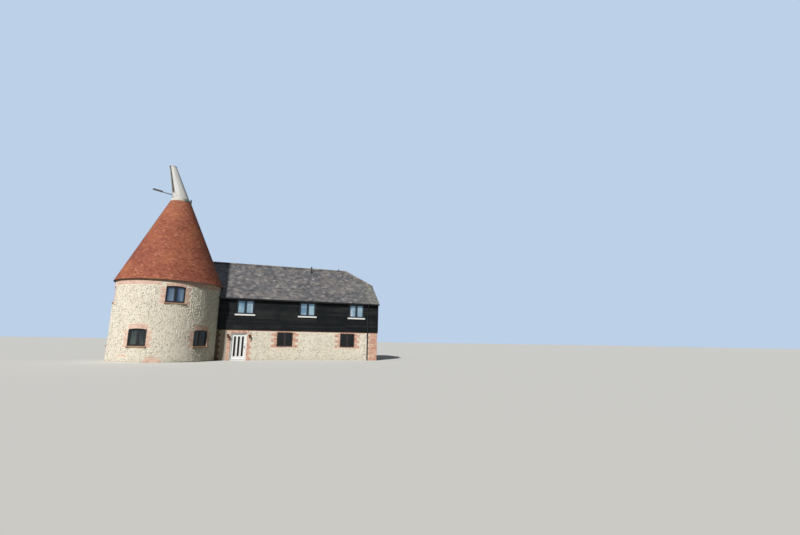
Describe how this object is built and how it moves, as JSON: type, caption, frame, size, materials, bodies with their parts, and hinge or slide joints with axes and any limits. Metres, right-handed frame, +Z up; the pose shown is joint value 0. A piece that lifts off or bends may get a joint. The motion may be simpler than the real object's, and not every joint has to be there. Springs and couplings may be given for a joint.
{
  "type": "oast house",
  "caption": "Round flint kiln with a tiled cone roof and a turning white cowl, joined to a long barn with flint below, black boards above and a half-hipped slate roof.",
  "frame": {"origin": "on the ground at the middle of the round kiln", "axes": "+Z up, +X along the barn away from the kiln, -Y out of the front with the door"},
  "size_m": [20.0645, 12.2497, 14.94],
  "materials": {
    "flint_wall": "flints in lime mortar with orange brick dressings",
    "floor_screed": "matt",
    "floor_boards": "planed boards",
    "clay_tiles": "matt clay plain tiles",
    "lead": "dull lead sheet",
    "oak": "sawn",
    "white_boards": "white paint",
    "vane_wood": "weathered paint",
    "black_boards": "black stain",
    "grey_slates": "weathered with lichen",
    "ridge_clay": "weathered",
    "black_pipe": "satin",
    "dark_frames": "dark stain",
    "window_glass": "clear",
    "sill_tiles": "matt clay",
    "white_paint": "satin paint",
    "handle_metal": "satin",
    "lamp_metal": "satin"
  },
  "bodies": {
    "house": {"kiln_wall_front": "flint_wall", "kiln_wall_front_left": "flint_wall", "kiln_wall_left": "flint_wall", "kiln_wall_back_left": "flint_wall", "kiln_wall_front_right": "flint_wall", "kiln_wall_inner_right": "flint_wall", "kiln_wall_inner_back": "flint_wall", "kiln_doorway_heads": "flint_wall", "kiln_ground_floor": "floor_screed", "kiln_upper_floor": "floor_boards", "kiln_roof": "clay_tiles", "cowl_kerb": "lead", "cowl_beams": "oak", "front_wall_by_kiln": "flint_wall", "front_wall": "flint_wall", "front_door_head": "flint_wall", "right_end_wall": "flint_wall", "back_wall": "flint_wall", "left_end_wall": "flint_wall", "front_boarded_wall": "black_boards", "back_boarded_wall": "black_boards", "right_boarded_gable": "black_boards", "left_boarded_gable": "black_boards", "barn_ground_floor": "floor_screed", "barn_upper_floor": "floor_boards", "barn_roof_front": "grey_slates", "barn_roof_back": "grey_slates", "half_hips": "grey_slates", "ridge_tiles": "ridge_clay", "gutters_and_downpipes": "black_pipe", "kiln_window_frames": "dark_frames", "barn_window_frames": "dark_frames", "window_glass": "window_glass", "kiln_window_sills": "sill_tiles", "barn_window_sills": "white_paint", "front_door_frame": "white_paint", "front_door_hinges": "handle_metal", "wall_lamps": "lamp_metal", "vent_pipes": "black_pipe"},
    "front_door": {"front_door_leaf": "white_paint", "front_door_glass": "window_glass", "front_door_furniture": "handle_metal"},
    "cowl": {"cowl_hood": "white_boards", "cowl_post": "oak", "cowl_vane": "vane_wood"}
  },
  "joints": [
    {"name": "front_door_hinge", "type": "hinge", "parent": "house", "child": "front_door", "pos_m": [4.6265, -0.202, 0], "axis": [0, 0, 1], "range_deg": [0, 95]},
    {"name": "cowl_turn", "type": "hinge", "parent": "house", "child": "cowl", "pos_m": [0, 0, 12.39], "axis": [0, 0, 1], "continuous": true}
  ]
}
